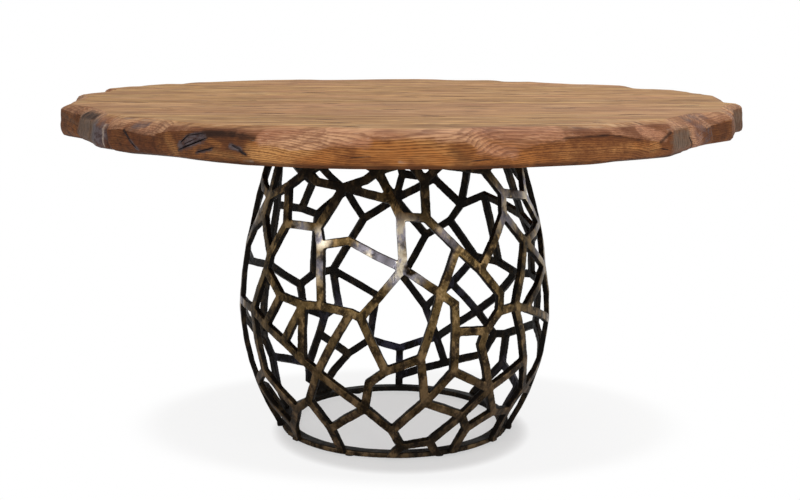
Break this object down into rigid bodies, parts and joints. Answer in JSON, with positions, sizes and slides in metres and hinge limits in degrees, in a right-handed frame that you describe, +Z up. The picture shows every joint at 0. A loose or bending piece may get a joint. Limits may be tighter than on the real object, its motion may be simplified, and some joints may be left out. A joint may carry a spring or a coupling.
{
  "type": "round dining table",
  "caption": "Round dining table with a thick plank top, carved wavy rim, and a barrel-shaped open base welded from flat bronze bars in an irregular web.",
  "frame": {"origin": "on the floor, under the middle of the round top", "axes": "+Z up; +X along the planks, to the right seen from the front; +Y to the back"},
  "size_m": [1.5021, 1.4975, 0.762],
  "materials": {
    "wood": "oiled, satin",
    "bronze": "patinated bronze, worn on the faces",
    "dark_bronze": "dark patina",
    "steel": "zinc plated",
    "brass": "turned",
    "nylon": "moulded"
  },
  "bodies": {
    "root": {"top_board_01": "wood", "top_board_02": "wood", "top_board_03": "wood", "top_board_04": "wood", "top_board_05": "wood", "top_board_06": "wood", "top_board_07": "wood", "top_board_08": "wood", "top_board_09": "wood", "top_board_10": "wood", "channel_left": "steel", "channel_right": "steel", "channel_screws": "steel", "threaded_inserts": "brass", "mounting_bolts": "steel", "bolt_washers": "steel", "mounting_ring": "dark_bronze", "web_bay_01": "bronze", "web_bay_02": "bronze", "web_bay_03": "bronze", "web_bay_04": "bronze", "web_bay_05": "bronze", "web_bay_06": "bronze", "web_bay_07": "bronze", "web_bay_08": "bronze", "web_bay_09": "bronze", "web_bay_10": "bronze", "web_bay_11": "bronze", "web_bay_12": "bronze", "floor_ring": "bronze", "floor_glides": "nylon"}
  },
  "joints": []
}
